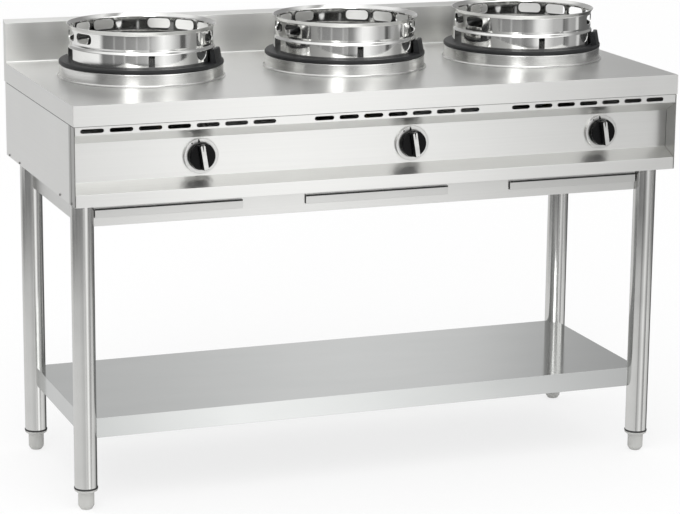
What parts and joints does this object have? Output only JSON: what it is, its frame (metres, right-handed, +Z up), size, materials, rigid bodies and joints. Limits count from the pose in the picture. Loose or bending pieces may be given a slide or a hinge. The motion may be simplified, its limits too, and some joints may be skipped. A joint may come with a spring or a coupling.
{
  "type": "gas wok range",
  "caption": "Free-standing stainless steel gas wok range with raised burner wells, lift-off rings, recessed knobs, drip trays, round legs and an undershelf.",
  "frame": {"origin": "on the floor, below the middle of the range", "axes": "+Z up, +X to the right as the cook sees it, +Y to the wall behind the range"},
  "size_m": [1.4, 0.63, 1.0176],
  "materials": {
    "brushed_steel": "brushed along the sheet",
    "satin_steel": "satin",
    "polished_steel": "mirror polished",
    "galvanised_steel": "dull zinc",
    "cast_iron": "rough casting",
    "brass": "satin",
    "black_plastic": "gloss",
    "grey_plastic": "matt"
  },
  "bodies": {
    "range_body": {"worktop": "brushed_steel", "collar_1": "brushed_steel", "collar_2": "brushed_steel", "collar_3": "brushed_steel", "burner_1": "cast_iron", "burner_2": "cast_iron", "burner_3": "cast_iron", "fascia": "brushed_steel", "end_cap_left": "brushed_steel", "end_cap_right": "brushed_steel", "side_panel_left": "brushed_steel", "side_panel_right": "brushed_steel", "back_panel": "brushed_steel", "base_plate": "galvanised_steel", "bezel_1": "satin_steel", "bezel_2": "satin_steel", "bezel_3": "satin_steel", "valve_1": "brass", "valve_2": "brass", "valve_3": "brass", "gas_pipe_1": "brass", "gas_pipe_2": "brass", "gas_pipe_3": "brass", "manifold": "galvanised_steel", "gas_inlet": "galvanised_steel", "front_rail": "brushed_steel", "rear_rail": "brushed_steel", "left_rail": "brushed_steel", "right_rail": "brushed_steel", "tray_runner_1_left": "galvanised_steel", "tray_runner_1_right": "galvanised_steel", "tray_runner_2_left": "galvanised_steel", "tray_runner_2_right": "galvanised_steel", "tray_runner_3_left": "galvanised_steel", "tray_runner_3_right": "galvanised_steel", "leg_front_left": "satin_steel", "leg_front_right": "satin_steel", "leg_rear_left": "satin_steel", "leg_rear_right": "satin_steel", "undershelf": "brushed_steel", "shelf_stiffener": "galvanised_steel"},
    "spindle_1": {"spindle_1": "satin_steel"},
    "knob_1": {"knob_1": "black_plastic"},
    "cast_ring_1": {"cast_ring_1": "cast_iron"},
    "wok_ring_1": {"wok_ring_1": "polished_steel"},
    "drip_tray_1": {"drip_tray_1": "brushed_steel"},
    "spindle_2": {"spindle_2": "satin_steel"},
    "knob_2": {"knob_2": "black_plastic"},
    "cast_ring_2": {"cast_ring_2": "cast_iron"},
    "wok_ring_2": {"wok_ring_2": "polished_steel"},
    "drip_tray_2": {"drip_tray_2": "brushed_steel"},
    "spindle_3": {"spindle_3": "satin_steel"},
    "knob_3": {"knob_3": "black_plastic"},
    "cast_ring_3": {"cast_ring_3": "cast_iron"},
    "wok_ring_3": {"wok_ring_3": "polished_steel"},
    "drip_tray_3": {"drip_tray_3": "brushed_steel"},
    "foot_front_left": {"foot_front_left": "grey_plastic"},
    "foot_front_right": {"foot_front_right": "grey_plastic"},
    "foot_rear_left": {"foot_rear_left": "grey_plastic"},
    "foot_rear_right": {"foot_rear_right": "grey_plastic"}
  },
  "joints": [
    {"name": "knob_1_push", "type": "slide", "parent": "range_body", "child": "spindle_1", "axis": [0, 1, 0], "range_m": [0, 0.003], "stiffness_N_per_m": 1000, "springref_m": -0.004},
    {"name": "knob_1_turn", "type": "hinge", "parent": "spindle_1", "child": "knob_1", "pos_m": [-0.412, -0.28, 0.7725], "axis": [0, -1, 0], "range_deg": [0, 240]},
    {"name": "cast_ring_1_lift", "type": "slide", "parent": "range_body", "child": "cast_ring_1", "axis": [0, 0, 1], "range_m": [0, 0.15]},
    {"name": "wok_ring_1_lift", "type": "slide", "parent": "cast_ring_1", "child": "wok_ring_1", "axis": [0, 0, 1], "range_m": [0, 0.2]},
    {"name": "drip_tray_1_slide", "type": "slide", "parent": "range_body", "child": "drip_tray_1", "axis": [0, -1, 0], "range_m": [0, 0.4]},
    {"name": "knob_2_push", "type": "slide", "parent": "range_body", "child": "spindle_2", "axis": [0, 1, 0], "range_m": [0, 0.003], "stiffness_N_per_m": 1000, "springref_m": -0.004},
    {"name": "knob_2_turn", "type": "hinge", "parent": "spindle_2", "child": "knob_2", "pos_m": [0.072, -0.28, 0.7725], "axis": [0, -1, 0], "range_deg": [0, 240]},
    {"name": "cast_ring_2_lift", "type": "slide", "parent": "range_body", "child": "cast_ring_2", "axis": [0, 0, 1], "range_m": [0, 0.15]},
    {"name": "wok_ring_2_lift", "type": "slide", "parent": "cast_ring_2", "child": "wok_ring_2", "axis": [0, 0, 1], "range_m": [0, 0.2]},
    {"name": "drip_tray_2_slide", "type": "slide", "parent": "range_body", "child": "drip_tray_2", "axis": [0, -1, 0], "range_m": [0, 0.4]},
    {"name": "knob_3_push", "type": "slide", "parent": "range_body", "child": "spindle_3", "axis": [0, 1, 0], "range_m": [0, 0.003], "stiffness_N_per_m": 1000, "springref_m": -0.004},
    {"name": "knob_3_turn", "type": "hinge", "parent": "spindle_3", "child": "knob_3", "pos_m": [0.531, -0.28, 0.7725], "axis": [0, -1, 0], "range_deg": [0, 240]},
    {"name": "cast_ring_3_lift", "type": "slide", "parent": "range_body", "child": "cast_ring_3", "axis": [0, 0, 1], "range_m": [0, 0.15]},
    {"name": "wok_ring_3_lift", "type": "slide", "parent": "cast_ring_3", "child": "wok_ring_3", "axis": [0, 0, 1], "range_m": [0, 0.2]},
    {"name": "drip_tray_3_slide", "type": "slide", "parent": "range_body", "child": "drip_tray_3", "axis": [0, -1, 0], "range_m": [0, 0.4]},
    {"name": "foot_front_left_screw", "type": "slide", "parent": "range_body", "child": "foot_front_left", "axis": [0, 0, -1], "range_m": [0, 0.025]},
    {"name": "foot_front_right_screw", "type": "slide", "parent": "range_body", "child": "foot_front_right", "axis": [0, 0, -1], "range_m": [0, 0.025]},
    {"name": "foot_rear_left_screw", "type": "slide", "parent": "range_body", "child": "foot_rear_left", "axis": [0, 0, -1], "range_m": [0, 0.025]},
    {"name": "foot_rear_right_screw", "type": "slide", "parent": "range_body", "child": "foot_rear_right", "axis": [0, 0, -1], "range_m": [0, 0.025]}
  ]
}
